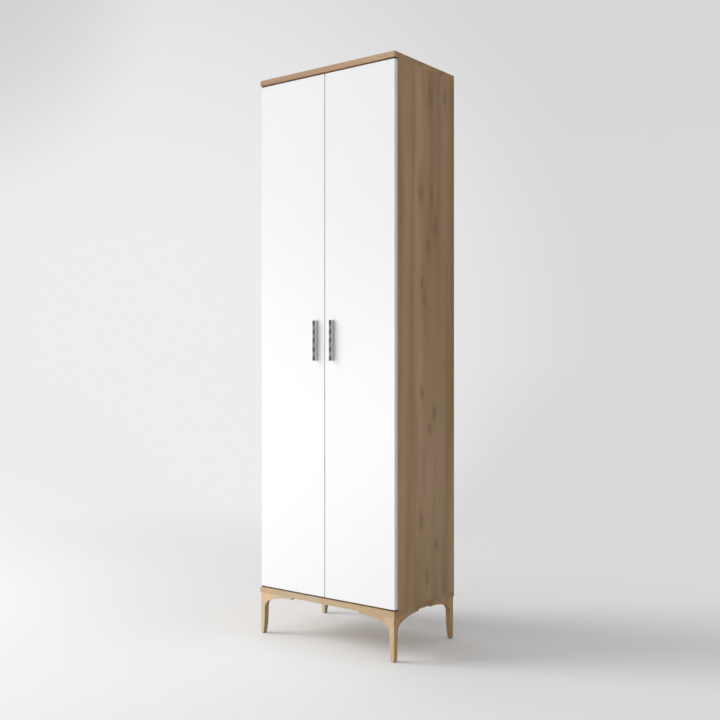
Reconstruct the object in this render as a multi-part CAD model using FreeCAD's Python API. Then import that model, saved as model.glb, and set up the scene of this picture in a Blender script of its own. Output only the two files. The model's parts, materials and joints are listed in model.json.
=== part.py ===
import FreeCAD, Part
import math
import os

from FreeCAD import Vector

# Utility cabinet, millimetres. X to the right, the doors face -Y, Z up, origin on the floor under the middle.

# Overall size
width = 565.0
depth = 350.0
height = 1900.0
leg_height = 140.0

# Board thicknesses
top_thickness = 18.0
bottom_thickness = 18.0
side_thickness = 18.0
door_thickness = 16.0
shelf_thickness = 18.0
back_thickness = 3.0

# How the doors stand between the boards
door_recess = 4.0
door_side_inset = 2.5
door_end_gap = 4.5
door_centre_gap = 3.0
door_back_clearance = 1.5
door_arris = 1.0

# Softened edges of the boards
board_arris = 0.8

# Back panel, held in grooves and split in two sheets by a strip
back_setback = 12.0
groove_depth = 7.0
groove_engagement = 6.5
groove_play = 0.1
strip_flange_height = 15.0
strip_wall = 1.0
strip_play = 0.1
strip_end_gap = 0.5

# Shelves
compartments = 6
fixed_shelf_number = 3
shelf_front_setback = 6.0
shelf_back_gap = 2.0
shelf_end_gap = 0.8

# Shelf pins and their rows of holes
pin_radius = 2.5
pin_depth = 9.0
pin_hole_depth = 11.0
pin_hole_play = 0.05
pin_collar_radius = 3.6
pin_collar_length = 0.6
pin_reach = 7.5
pin_rest_radius = 3.0
pin_row_front_setback = 37.0
pin_row_spacing = 224.0
hole_pitch = 32.0
spare_holes_each_way = 1

# Cam fittings and dowels
cam_radius = 7.5
cam_depth = 13.5
cam_play = 0.05
cam_setback = 24.0
cam_slot_radius = 2.1
cam_pocket_radius = 5.5
cam_pocket_height = 6.2
cam_cross_length = 7.0
cam_cross_width = 1.6
cam_cross_depth = 2.0
bolt_screw_radius = 2.5
bolt_screw_length = 10.5
bolt_collar_radius = 3.4
bolt_collar_length = 1.6
bolt_neck_radius = 1.7
bolt_head_radius = 2.9
bolt_head_length = 3.0
bolt_passage_radius = 4.0
bolt_play = 0.05
cam_front_setback = 50.0
cam_back_setback = 50.0
dowel_radius = 4.0
dowel_length = 30.0
dowel_in_face = 10.0
dowel_play = 0.05
dowel_end_play = 0.5
dowel_offset = 32.0
dowel_chamfer = 0.8

# Legs
leg_side_inset = 2.5
leg_front_inset = 1.0
leg_foot_tuck = 0.5
leg_shoulder_width = 17.5
leg_shoulder_depth = 20.5
leg_knee_height = 38.0
leg_knee_width = 16.5
leg_knee_depth = 18.8
leg_foot_width = 12.0
leg_foot_depth = 16.0
leg_corner_round = 2.0
leg_shoulder_drop = 52.0
arm_length = 140.0
arm_width = 17.0
arm_tip_thickness = 6.5
arm_bend_radius = 32.0
arm_bend_turn = 70.0
arm_end_round = 2.0

# Leg screws, their heads sunk from below
leg_screw_near = 62.0
leg_screw_far = 112.0
leg_screw_seat = 4.5
leg_screw_length = 14.5
leg_screw_radius = 2.0
leg_screw_head_radius = 3.6
leg_screw_head_height = 2.0
leg_screw_play = 0.05
leg_counterbore_play = 0.4

# Glides under the feet
glide_radius = 5.4
glide_thickness = 3.0
glide_edge_round = 0.8
glide_spigot_radius = 2.5
glide_spigot_length = 9.0
glide_play = 0.05

# Pivot hinges at the ends of the doors
pivot_inset = 5.0
pivot_radius = 2.5
pivot_play = 0.05
pivot_end_gap = 0.3
leaf_half_width = 5.0
leaf_elbow = 13.0
leaf_offset = 4.0
leaf_length = 48.0
board_leaf_thickness = 3.0
door_leaf_thickness = 2.5
leaf_play = 0.1
washer_radius = 4.6
washer_play = 0.1
leaf_screw_first = 20.0
leaf_screw_second = 38.0
leaf_screw_radius = 1.5
leaf_screw_head_radius = 3.0
leaf_screw_length = 13.0
leaf_screw_play = 0.05

# Handles
handle_length = 132.5
handle_width = 9.5
handle_centre = 34.5
handle_height = 1003.5
handle_projection = 15.5
handle_stem_depth = 5.0
handle_stem_width = 6.0
handle_front_round = 1.2
handle_end_chamfer = 0.6
handle_screw_spacing = 96.0
handle_screw_radius = 2.0
handle_screw_engagement = 9.0
handle_screw_head_radius = 4.0
handle_screw_head_height = 2.4
handle_screw_play = 0.05
handle_hole_play = 0.3

# Magnetic catches and strike plates
catch_width = 58.0
catch_height = 20.0
catch_depth = 15.0
catch_round = 1.5
catch_ear = 7.0
catch_ear_thickness = 6.0
magnet_width = 15.0
magnet_height = 6.0
magnet_depth = 9.0
magnet_proud = 0.5
magnet_play = 0.05
magnet_centre = 12.5
magnet_drop = 14.0
strike_width = 20.0
strike_height = 12.0
strike_thickness = 1.0
strike_gap = 0.5
strike_round = 2.0
catch_screw_radius = 1.5
catch_screw_head_radius = 2.9
catch_screw_head_height = 1.6
catch_screw_length = 12.0
catch_screw_play = 0.05

# One overrun serves every cut
overrun = 1.0

# Directions
RIGHT = Vector(1, 0, 0)
BACK = Vector(0, 1, 0)
UP = Vector(0, 0, 1)
DOWN = Vector(0, 0, -1)
ORIGIN = Vector(0, 0, 0)

# Levels and faces worked out from the sizes above
half_width = width / 2
front_y = -depth / 2
back_y = depth / 2
bottom_low = leg_height
bottom_high = bottom_low + bottom_thickness
top_high = height
top_low = top_high - top_thickness
door_front_y = front_y + door_recess
door_back_y = door_front_y + door_thickness
side_front_y = door_back_y + door_back_clearance
inner_half = half_width - side_thickness
side_middle = half_width - side_thickness / 2
door_low = bottom_high + door_end_gap
door_high = top_low - door_end_gap
door_outer_x = half_width - door_side_inset
door_inner_x = door_centre_gap / 2
back_rear_y = back_y - back_setback
back_front_y = back_rear_y - back_thickness
pivot_x = door_outer_x - pivot_inset
pivot_y = door_front_y + pivot_inset
compartment_height = (top_low - bottom_high - (compartments - 1) * shelf_thickness) / compartments
cam_rows = (side_front_y + cam_front_setback, back_y - cam_back_setback)
dowel_rows = (cam_rows[0] + dowel_offset, cam_rows[1] - dowel_offset)
pin_rows = (side_front_y + pin_row_front_setback, side_front_y + pin_row_front_setback + pin_row_spacing)


def shelf_underside(number):
    return bottom_high + number * compartment_height + (number - 1) * shelf_thickness


def box(low, high):
    size = high.sub(low)
    return Part.makeBox(size.x, size.y, size.z, low)


def rod(radius, length, start, direction):
    return Part.makeCylinder(radius, length, start, direction)


def fuse_all(shapes):
    first = shapes[0]
    if len(shapes) == 1:
        return first
    return first.fuse(shapes[1:]).removeSplitter()


def cut_all(shape, cutters):
    return shape.cut(cutters)


def mirrored(shape):
    return shape.mirror(ORIGIN, RIGHT)


def both_sides(shapes):
    return shapes + [mirrored(shape) for shape in shapes]


def rounded_edges(shape, radius, chosen):
    edges = [edge for edge in shape.Edges if chosen(edge)]
    return shape.makeFillet(radius, edges)


def runs_along(edge, direction):
    if not isinstance(edge.Curve, Part.Line):
        return False
    return abs(edge.tangentAt(edge.FirstParameter).dot(direction)) > math.cos(math.radians(1))


def edge_middle(edge):
    return edge.CenterOfMass


# The arc that leaves start along a unit direction and reaches end
def tangent_arc(start, direction, end):
    half_chord = end.sub(start) / 2
    outward = direction.sub(half_chord * (direction.dot(half_chord) / half_chord.dot(half_chord)))
    turn = math.asin(outward.Length)
    outward.normalize()
    middle = start.add(half_chord).add(outward * (half_chord.Length * math.tan(turn / 2)))
    return Part.Arc(start, middle, end).toShape()


def save(name, shape):
    if isinstance(shape, list):
        shape = Part.makeCompound(shape)
    shape.exportStep(os.path.join("parts", name + ".step"))


# A turned piece from an outline of (radius, height) corners, standing at start and pointing along direction
def turned(outline, start, direction):
    corners = [Vector(radius, 0, level) for radius, level in outline]
    corners.append(corners[0])
    face = Part.Face(Part.makePolygon(corners))
    solid = face.revolve(ORIGIN, UP, 360)
    solid.Placement = FreeCAD.Placement(start, FreeCAD.Rotation(UP, direction))
    return solid


# Cam fittings: a bolt screwed into a face, its head held by a disc in the other piece

def cam_bolt(start, direction):
    neck_end = cam_setback - bolt_head_length / 2
    outline = [
        (0, -bolt_screw_length),
        (bolt_screw_radius, -bolt_screw_length),
        (bolt_screw_radius, 0),
        (bolt_collar_radius, 0),
        (bolt_collar_radius, bolt_collar_length),
        (bolt_neck_radius, bolt_collar_length),
        (bolt_neck_radius, neck_end),
        (bolt_head_radius, neck_end),
        (bolt_head_radius, neck_end + bolt_head_length),
        (0, neck_end + bolt_head_length),
    ]
    return turned(outline, start, direction)


def cam_bolt_hole(start, direction):
    return rod(bolt_screw_radius + bolt_play, bolt_screw_length + overrun, start, direction.negative())


def cam_bolt_passage(start, direction):
    return rod(bolt_passage_radius, cam_setback, start, direction)


# The disc is hollow round the bolt's head, open for its neck, and has a cross for the screwdriver
def cam_disc(mouth, inward, towards_bolt, host_thickness):
    disc = rod(cam_radius, cam_depth, mouth, inward)
    middle = mouth.add(inward * (host_thickness / 2))
    slot = rod(cam_slot_radius, cam_radius + overrun, middle, towards_bolt)
    pocket = rod(cam_pocket_radius, cam_pocket_height, middle.sub(inward * (cam_pocket_height / 2)), inward)
    across = inward.cross(towards_bolt)
    cross = []
    for direction, other in ((towards_bolt, across), (across, towards_bolt)):
        low = mouth.sub(direction * (cam_cross_length / 2)).sub(other * (cam_cross_width / 2))
        corners = [
            low,
            low.add(direction * cam_cross_length),
            low.add(direction * cam_cross_length).add(other * cam_cross_width),
            low.add(other * cam_cross_width),
            low,
        ]
        cross.append(Part.Face(Part.makePolygon(corners)).extrude(inward * cam_cross_depth))
    return cut_all(disc, [slot, pocket] + cross)


def cam_bore(mouth, inward):
    return rod(cam_radius + cam_play, cam_depth + cam_play, mouth, inward)


# Wood dowels, with chamfered ends, across a joint between a face and an end
def wood_dowel(joint, direction):
    start = joint.sub(direction * dowel_in_face)
    dowel = rod(dowel_radius, dowel_length, start, direction)
    ends = [edge for edge in dowel.Edges if isinstance(edge.Curve, Part.Circle)]
    return dowel.makeChamfer(dowel_chamfer, ends)


def dowel_hole(joint, direction, reach):
    return rod(dowel_radius + dowel_play, reach + dowel_end_play, joint, direction)


# Each joint of the carcass on the right-hand side, as (point on the face, direction into the end)
def board_joints():
    joints = []
    for y in cam_rows:
        joints.append((Vector(side_middle, y, top_low), DOWN))
        joints.append((Vector(side_middle, y, bottom_high), UP))
    return joints


def board_dowel_joints():
    joints = []
    for y in dowel_rows:
        joints.append((Vector(side_middle, y, top_low), DOWN))
        joints.append((Vector(side_middle, y, bottom_high), UP))
    return joints


def fixed_shelf_middle():
    return shelf_underside(fixed_shelf_number) + shelf_thickness / 2


def shelf_joints(rows):
    return [(Vector(inner_half, y, fixed_shelf_middle()), RIGHT.negative()) for y in rows]


def cam_bolts():
    bolts = [cam_bolt(point, direction) for point, direction in board_joints() + shelf_joints(cam_rows)]
    return both_sides(bolts)


def cam_discs():
    discs = []
    for point, direction in board_joints():
        mouth = Vector(inner_half, point.y, point.z).add(direction * cam_setback)
        discs.append(cam_disc(mouth, RIGHT, direction.negative(), side_thickness))
    for point, direction in shelf_joints(cam_rows):
        mouth = Vector(point.x, point.y, shelf_underside(fixed_shelf_number)).add(direction * cam_setback)
        discs.append(cam_disc(mouth, UP, direction.negative(), shelf_thickness))
    return both_sides(discs)


def wood_dowels():
    places = board_dowel_joints() + shelf_joints(dowel_rows)
    return both_sides([wood_dowel(point, direction) for point, direction in places])


# Fixings that enter the face of the top or bottom board
def board_fixing_holes(level):
    holes = []
    for point, direction in board_joints():
        if point.z == level:
            holes.append(cam_bolt_hole(point, direction))
    for point, direction in board_dowel_joints():
        if point.z == level:
            holes.append(dowel_hole(point, direction.negative(), dowel_in_face))
    return both_sides(holes)


# Legs: a tapered post at the corner and two arms with one curved underside each

def leg_post():
    shoulder_z = leg_height - leg_shoulder_drop
    levels = (
        (leg_height, 0, leg_shoulder_width, leg_shoulder_depth),
        (shoulder_z, 0, leg_shoulder_width, leg_shoulder_depth),
        (leg_knee_height, 0, leg_knee_width, leg_knee_depth),
        (glide_thickness, leg_foot_tuck, leg_foot_width, leg_foot_depth),
    )
    sections = []
    for level, tuck, across_front, across_side in levels:
        corner = outer_corner(tuck, level)
        corners = [
            corner,
            corner.add(BACK * across_side),
            corner.add(BACK * across_side).sub(RIGHT * across_front),
            corner.sub(RIGHT * across_front),
            corner,
        ]
        sections.append(Part.makePolygon(corners))
    return fuse_all([Part.makeLoft(list(pair), True, True) for pair in zip(sections, sections[1:])])


# One arm: its underside leaves the post in a tight bend and runs out to the tip in a long shallow arc
def leg_arm(corner, along, across, root):
    turn = math.radians(arm_bend_turn)
    top_tip = corner.add(along * arm_length)
    low_tip = top_tip.add(DOWN * arm_tip_thickness)
    foot = corner.add(along * root).add(DOWN * leg_shoulder_drop)
    bend_reach = arm_bend_radius * (1 - math.cos(turn))
    bend_rise = arm_bend_radius * math.sin(turn)
    bend_end = foot.add(along * bend_reach).add(UP * bend_rise)
    bend_direction = along * math.sin(turn) + UP * math.cos(turn)
    under = corner.add(DOWN * leg_shoulder_drop)
    outline = Part.Wire([
        Part.makeLine(corner, top_tip),
        Part.makeLine(top_tip, low_tip),
        tangent_arc(bend_end, bend_direction, low_tip),
        tangent_arc(foot, UP, bend_end),
        Part.makeLine(foot, under),
        Part.makeLine(under, corner),
    ])
    arm = Part.Face(outline).extrude(across * arm_width)
    tip = [edge for edge in arm.Edges if runs_along(edge, UP) and edge_middle(edge).sub(corner).dot(along) > root * 2]
    return arm.makeFillet(arm_end_round, tip)


def leg_screw_places(corner):
    middle = arm_width / 2
    places = []
    for distance in (leg_screw_near, leg_screw_far):
        places.append(corner.sub(RIGHT * distance).add(BACK * middle))
        places.append(corner.add(BACK * distance).sub(RIGHT * middle))
    return places


def outer_corner(tuck, level):
    return Vector(half_width - leg_side_inset - tuck, front_y + leg_front_inset + tuck, level)


def foot_middle(level):
    return outer_corner(leg_foot_tuck, level).add(Vector(-leg_foot_width / 2, leg_foot_depth / 2, 0))


# The front right leg; the others are its mirror images
def leg():
    corner = outer_corner(0, leg_height)
    shape = fuse_all([
        leg_post(),
        leg_arm(corner, RIGHT.negative(), BACK, leg_shoulder_width),
        leg_arm(corner, BACK, RIGHT.negative(), leg_shoulder_depth),
    ])
    foot = foot_middle(glide_thickness)
    cutters = [rod(glide_spigot_radius + glide_play, glide_spigot_length + glide_play, foot, UP)]
    for place in leg_screw_places(corner):
        seat = place.add(DOWN * leg_screw_seat)
        cutters.append(rod(leg_screw_radius + leg_screw_play, leg_screw_seat + overrun, seat.sub(UP * overrun), UP))
        cutters.append(rod(leg_screw_head_radius + leg_counterbore_play, leg_shoulder_drop, seat, DOWN))
    outer = [
        edge for edge in shape.Edges
        if edge_middle(edge).z < leg_height - overrun
        and edge_middle(edge).x > corner.x - leg_foot_tuck - overrun
        and edge_middle(edge).y < corner.y + leg_foot_tuck + overrun
        and runs_up(edge)
    ]
    shape = shape.makeFillet(leg_corner_round, outer)
    return cut_all(shape, cutters)


def runs_up(edge):
    return edge.BoundBox.ZLength > edge.BoundBox.XLength + edge.BoundBox.YLength


def leg_glide():
    start = foot_middle(0)
    outline = [
        (0, 0),
        (glide_radius - glide_edge_round, 0),
        (glide_radius, glide_edge_round),
        (glide_radius, glide_thickness),
        (glide_spigot_radius, glide_thickness),
        (glide_spigot_radius, glide_thickness + glide_spigot_length),
        (0, glide_thickness + glide_spigot_length),
    ]
    return turned(outline, start, UP)


def leg_screw(place):
    seat = place.add(DOWN * leg_screw_seat)
    outline = [
        (0, -leg_screw_head_height),
        (leg_screw_head_radius, -leg_screw_head_height),
        (leg_screw_head_radius, 0),
        (leg_screw_radius, 0),
        (leg_screw_radius, leg_screw_length),
        (0, leg_screw_length),
    ]
    return turned(outline, seat, UP)


def four_corners(shape):
    right = [shape, shape.mirror(ORIGIN, BACK)]
    return both_sides(right)


def leg_screw_holes():
    length = leg_screw_length - leg_screw_seat + leg_screw_play
    holes = []
    for place in leg_screw_places(outer_corner(0, leg_height)):
        holes += four_corners(rod(leg_screw_radius + leg_screw_play, length, place, UP))
    return holes


# Pivot hinges: two flat leaves of one outline turn on a pin near the door's front outer corner

def leaf_points():
    pivot = Vector(pivot_x, pivot_y, 0)
    elbow = pivot.sub(RIGHT * leaf_elbow).add(BACK * leaf_offset)
    end = Vector(pivot_x - leaf_length + leaf_half_width + pivot_inset, elbow.y, 0)
    return pivot, elbow, end


def bar_between(start, end, radius, thickness):
    along = end.sub(start)
    length = along.Length
    along.normalize()
    across = UP.cross(along) * radius
    corners = [start.sub(across), end.sub(across), end.add(across), start.add(across), start.sub(across)]
    middle = Part.Face(Part.makePolygon(corners)).extrude(UP * thickness)
    ends = [rod(radius, thickness, point, UP) for point in (start, end)]
    return middle.fuse(ends)


def leaf_plate(thickness, radius, level):
    pivot, elbow, end = leaf_points()
    plate = bar_between(pivot, elbow, radius, thickness).fuse(bar_between(elbow, end, radius, thickness))
    plate = plate.removeSplitter()
    plate.translate(UP * level)
    return plate


def leaf_screw_points():
    elbow = leaf_points()[1]
    return [Vector(pivot_x - distance, elbow.y, 0) for distance in (leaf_screw_first, leaf_screw_second)]


# Countersunk screws, the head flush with the leaf's free face at the given level
def leaf_screw(point, level, direction, play, length):
    outline = [
        (0, 0),
        (leaf_screw_head_radius + play, 0),
        (leaf_screw_radius + play, leaf_screw_head_radius - leaf_screw_radius),
        (leaf_screw_radius + play, length),
        (0, length),
    ]
    return turned(outline, Vector(point.x, point.y, level), direction)


def leaf_screws(level, direction):
    return [leaf_screw(point, level, direction, 0, leaf_screw_length) for point in leaf_screw_points()]


def leaf_screw_holes(level, direction):
    length = leaf_screw_length + overrun
    return [leaf_screw(point, level, direction, leaf_screw_play, length) for point in leaf_screw_points()]


# The leaf fixed to a board, with its free face at the given level
def board_leaf(face_level, free_level, direction):
    plate = leaf_plate(board_leaf_thickness, leaf_half_width, min(face_level, free_level))
    pivot = rod(pivot_radius, board_leaf_thickness, Vector(pivot_x, pivot_y, min(face_level, free_level)), UP)
    return cut_all(plate, [pivot] + leaf_screw_holes(free_level, direction))


# The leaf let into the end of the door
def door_leaf(end_level, direction):
    low = end_level - door_leaf_thickness if direction == DOWN else end_level
    plate = leaf_plate(door_leaf_thickness, leaf_half_width, low)
    hole = rod(pivot_radius + pivot_play, door_leaf_thickness, Vector(pivot_x, pivot_y, low), UP)
    return cut_all(plate, [hole] + leaf_screw_holes(end_level, direction))


def leaf_mortise(end_level, direction):
    room = door_leaf_thickness
    low = end_level - room if direction == DOWN else end_level - overrun
    return leaf_plate(room + overrun, leaf_half_width + leaf_play, low)


def hinge_pin(face_level, direction):
    length = door_end_gap + door_leaf_thickness - pivot_end_gap
    return rod(pivot_radius, length, Vector(pivot_x, pivot_y, face_level), direction)


def hinge_washer(free_level, direction):
    thickness = door_end_gap - board_leaf_thickness - washer_play * 2
    start = Vector(pivot_x, pivot_y, free_level).add(direction * washer_play)
    ring = rod(washer_radius, thickness, start, direction)
    return ring.cut(rod(pivot_radius + pivot_play, thickness, start, direction))


upper_leaf_level = top_low - board_leaf_thickness
lower_leaf_level = bottom_high + board_leaf_thickness


def board_hinge_leaves():
    leaves = [board_leaf(top_low, upper_leaf_level, UP), board_leaf(bottom_high, lower_leaf_level, DOWN)]
    return both_sides(leaves)


def hinge_pins():
    return both_sides([hinge_pin(top_low, DOWN), hinge_pin(bottom_high, UP)])


def hinge_washers():
    return both_sides([hinge_washer(upper_leaf_level, DOWN), hinge_washer(lower_leaf_level, UP)])


def board_hinge_screws():
    return both_sides(leaf_screws(upper_leaf_level, UP) + leaf_screws(lower_leaf_level, DOWN))


def door_hinge_leaves():
    return [door_leaf(door_high, DOWN), door_leaf(door_low, UP)]


def door_hinge_screws():
    return leaf_screws(door_high, DOWN) + leaf_screws(door_low, UP)


# Magnetic catches in the middle, one under the top board and one under the fixed shelf

catch_front_y = door_back_y + strike_thickness + strike_gap + magnet_proud
catch_levels = (top_low, shelf_underside(fixed_shelf_number))


def catch_magnet(level, side):
    centre = Vector(side * magnet_centre, catch_front_y - magnet_proud, level - magnet_drop)
    low = centre.sub(RIGHT * (magnet_width / 2)).sub(UP * (magnet_height / 2))
    high = low.add(Vector(magnet_width, magnet_depth, magnet_height))
    return box(low, high)


def magnet_pocket(level, side):
    magnet = catch_magnet(level, side).BoundBox
    play = magnet_play
    low = Vector(magnet.XMin - play, magnet.YMin - overrun, magnet.ZMin - play)
    high = Vector(magnet.XMax + play, magnet.YMax + play, magnet.ZMax + play)
    return box(low, high)


def catch_screw_point(level, side):
    x = side * (catch_width / 2 - catch_ear / 2)
    return Vector(x, catch_front_y + catch_depth / 2, level - catch_ear_thickness)


def catch_housing(level):
    low = Vector(-catch_width / 2, catch_front_y, level - catch_height)
    high = Vector(catch_width / 2, catch_front_y + catch_depth, level)
    housing = rounded_edges(box(low, high), catch_round, lambda edge: runs_along(edge, UP))
    cutters = []
    for side in (-1, 1):
        cutters.append(magnet_pocket(level, side))
        point = catch_screw_point(level, side)
        ear_low = Vector(point.x - catch_ear / 2 - overrun, catch_front_y - overrun, level - catch_height - overrun)
        ear_high = Vector(point.x + catch_ear / 2 + overrun, high.y + overrun, point.z)
        if side > 0:
            ear_low.x = ear_low.x + overrun
        else:
            ear_high.x = ear_high.x - overrun
        cutters.append(box(ear_low, ear_high))
        cutters.append(rod(catch_screw_radius + catch_screw_play, catch_height, point, UP))
    return cut_all(housing, cutters)


def small_pan_screw(start, direction, length):
    outline = [
        (0, -catch_screw_head_height),
        (catch_screw_head_radius, -catch_screw_head_height),
        (catch_screw_head_radius, 0),
        (catch_screw_radius, 0),
        (catch_screw_radius, length),
        (0, length),
    ]
    return turned(outline, start, direction)


def catch_housings():
    return [catch_housing(level) for level in catch_levels]


def catch_magnets():
    return [catch_magnet(level, side) for level in catch_levels for side in (-1, 1)]


def catch_screws():
    points = [catch_screw_point(level, side) for level in catch_levels for side in (-1, 1)]
    return [small_pan_screw(point, UP, catch_screw_length) for point in points]


def catch_screw_holes(level):
    reach = catch_screw_length + overrun
    return [rod(catch_screw_radius + catch_screw_play, reach, catch_screw_point(level, side), UP) for side in (-1, 1)]


# Strike plates on the back of the right door, one facing each magnet
def strike_centre(level):
    return Vector(magnet_centre, door_back_y, level - magnet_drop)


def strike_plates():
    plates = []
    for level in catch_levels:
        centre = strike_centre(level)
        low = centre.sub(RIGHT * (strike_width / 2)).sub(UP * (strike_height / 2))
        high = low.add(Vector(strike_width, strike_thickness, strike_height))
        plate = rounded_edges(box(low, high), strike_round, lambda edge: runs_along(edge, BACK))
        hole_start = Vector(centre.x, door_back_y + strike_thickness, centre.z)
        screw = sunk_strike_screw(hole_start, leaf_screw_play)
        plates.append(plate.cut(screw))
    return plates


def sunk_strike_screw(start, play):
    outline = [
        (0, 0),
        (leaf_screw_radius + strike_thickness + play, 0),
        (leaf_screw_radius + play, strike_thickness),
        (leaf_screw_radius + play, leaf_screw_length),
        (0, leaf_screw_length),
    ]
    return turned(outline, start, BACK.negative())


def strike_screws():
    screws = []
    for level in catch_levels:
        centre = strike_centre(level)
        screws.append(sunk_strike_screw(Vector(centre.x, door_back_y + strike_thickness, centre.z), 0))
    return screws


# Handles: a solid bar on a narrower stem, one section along its whole length

def handle():
    centre_x = handle_centre
    stem_front = door_front_y - handle_stem_depth
    bar_front = door_front_y - handle_projection
    half_bar = handle_width / 2
    half_stem = handle_stem_width / 2
    outline = [
        (half_stem, door_front_y),
        (half_stem, stem_front),
        (half_bar, stem_front),
        (half_bar, bar_front),
        (-half_bar, bar_front),
        (-half_bar, stem_front),
        (-half_stem, stem_front),
        (-half_stem, door_front_y),
        (half_stem, door_front_y),
    ]
    low = handle_height - handle_length / 2
    corners = [Vector(centre_x + x, y, low) for x, y in outline]
    bar = Part.Face(Part.makePolygon(corners)).extrude(UP * handle_length)
    bar = rounded_edges(bar, handle_front_round, lambda edge: runs_along(edge, UP) and edge_middle(edge).y == bar_front)
    ends = [
        edge for edge in bar.Edges
        if edge.BoundBox.ZLength < overrun and edge_middle(edge).y < stem_front - handle_end_chamfer
    ]
    bar = bar.makeChamfer(handle_end_chamfer, ends)
    return cut_all(bar, [handle_thread(place) for place in handle_screw_places()])


def handle_screw_places():
    half = handle_screw_spacing / 2
    return [Vector(handle_centre, door_front_y, handle_height + side * half) for side in (-1, 1)]


def handle_thread(place):
    length = handle_screw_engagement + overrun
    return rod(handle_screw_radius + handle_screw_play, length, place, BACK.negative())


def handle_screws():
    length = door_thickness + handle_screw_engagement
    outline = [
        (0, -handle_screw_head_height),
        (handle_screw_head_radius - handle_screw_head_height / 2, -handle_screw_head_height),
        (handle_screw_head_radius, -handle_screw_head_height / 2),
        (handle_screw_head_radius, 0),
        (handle_screw_radius, 0),
        (handle_screw_radius, length),
        (0, length),
    ]
    screws = []
    for place in handle_screw_places():
        start = Vector(place.x, door_back_y, place.z)
        screws.append(turned(outline, start, BACK.negative()))
    return screws


# The right door; the left door is its mirror image
def door_panel():
    panel = box(Vector(door_inner_x, door_front_y, door_low), Vector(door_outer_x, door_back_y, door_high))
    panel = rounded_edges(panel, door_arris, lambda edge: edge_middle(edge).y < door_back_y - door_thickness / 2)
    cutters = [leaf_mortise(door_high, DOWN), leaf_mortise(door_low, UP)]
    cutters += leaf_screw_holes(door_high, DOWN) + leaf_screw_holes(door_low, UP)
    for place in handle_screw_places():
        start = Vector(place.x, door_front_y - overrun, place.z)
        cutters.append(rod(handle_screw_radius + handle_hole_play, door_thickness + overrun * 2, start, BACK))
    for level in catch_levels:
        centre = strike_centre(level)
        cutters.append(sunk_strike_screw(Vector(centre.x, door_back_y + strike_thickness, centre.z), leaf_screw_play))
    return cut_all(panel, cutters)


# Boards of the carcass

def back_groove(level, sign):
    half = inner_half + groove_depth
    low = Vector(-half, back_front_y - groove_play, min(level, level + sign * groove_depth))
    high = Vector(half, back_rear_y + groove_play, max(level, level + sign * groove_depth))
    return box(low, high)


def plain_board(low_z, high_z):
    board = box(Vector(-half_width, front_y, low_z), Vector(half_width, back_y, high_z))
    return rounded_edges(board, board_arris, lambda edge: True)


def top_board():
    cutters = board_fixing_holes(top_low)
    cutters.append(back_groove(top_low, 1))
    cutters += both_sides(leaf_screw_holes(upper_leaf_level, UP))
    cutters += catch_screw_holes(top_low)
    return cut_all(plain_board(top_low, top_high), cutters)


def bottom_board():
    cutters = board_fixing_holes(bottom_high)
    cutters.append(back_groove(bottom_high, -1))
    cutters += both_sides(leaf_screw_holes(lower_leaf_level, DOWN))
    cutters += leg_screw_holes()
    return cut_all(plain_board(bottom_low, bottom_high), cutters)


def adjustable_shelf_numbers():
    return [number for number in range(1, compartments) if number != fixed_shelf_number]


def pin_levels():
    levels = []
    for number in adjustable_shelf_numbers():
        pin_centre = shelf_underside(number) - pin_rest_radius
        for step in range(-spare_holes_each_way, spare_holes_each_way + 1):
            levels.append(pin_centre + step * hole_pitch)
    return levels


def side_panel():
    panel = box(Vector(inner_half, side_front_y, bottom_high), Vector(half_width, back_y, top_low))
    panel = rounded_edges(panel, board_arris, lambda edge: runs_along(edge, UP))
    groove = box(
        Vector(inner_half - overrun, back_front_y - groove_play, bottom_high - overrun),
        Vector(inner_half + groove_depth, back_rear_y + groove_play, top_low + overrun),
    )
    cutters = [groove]
    for point, direction in board_joints():
        cutters.append(cam_bolt_passage(point, direction))
        mouth = Vector(inner_half, point.y, point.z).add(direction * cam_setback)
        cutters.append(cam_bore(mouth, RIGHT))
    for point, direction in board_dowel_joints():
        cutters.append(dowel_hole(point, direction, dowel_length - dowel_in_face))
    for point, direction in shelf_joints(cam_rows):
        cutters.append(cam_bolt_hole(point, direction))
    for point, direction in shelf_joints(dowel_rows):
        cutters.append(dowel_hole(point, direction.negative(), dowel_in_face))
    for level in pin_levels():
        for y in pin_rows:
            cutters.append(rod(pin_radius + pin_hole_play, pin_hole_depth, Vector(inner_half, y, level), RIGHT))
    return cut_all(panel, cutters)


def shelf_blank(number, half, front):
    low_z = shelf_underside(number)
    low = Vector(-half, front, low_z)
    high = Vector(half, back_front_y - shelf_back_gap, low_z + shelf_thickness)
    return rounded_edges(box(low, high), board_arris, lambda edge: runs_along(edge, RIGHT))


def adjustable_shelf(number):
    return shelf_blank(number, inner_half - shelf_end_gap, side_front_y + shelf_front_setback)


def fixed_shelf():
    shelf = shelf_blank(fixed_shelf_number, inner_half, side_front_y + shelf_front_setback)
    cutters = []
    for point, direction in shelf_joints(cam_rows):
        cutters.append(cam_bolt_passage(point, direction))
        mouth = Vector(point.x, point.y, shelf_underside(fixed_shelf_number)).add(direction * cam_setback)
        cutters.append(cam_bore(mouth, UP))
    for point, direction in shelf_joints(dowel_rows):
        cutters.append(dowel_hole(point, direction, dowel_length - dowel_in_face))
    return cut_all(shelf, both_sides(cutters) + catch_screw_holes(shelf_underside(fixed_shelf_number)))


# A pin in the side panel with a collar against it and a rounded rest under the shelf
def shelf_pin(y, level):
    outline = [
        (0, -pin_depth),
        (pin_radius, -pin_depth),
        (pin_radius, 0),
        (pin_collar_radius, 0),
        (pin_collar_radius, pin_collar_length),
        (pin_rest_radius, pin_collar_length),
        (pin_rest_radius, pin_reach),
        (0, pin_reach),
    ]
    return turned(outline, Vector(inner_half, y, level), RIGHT.negative())


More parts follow.
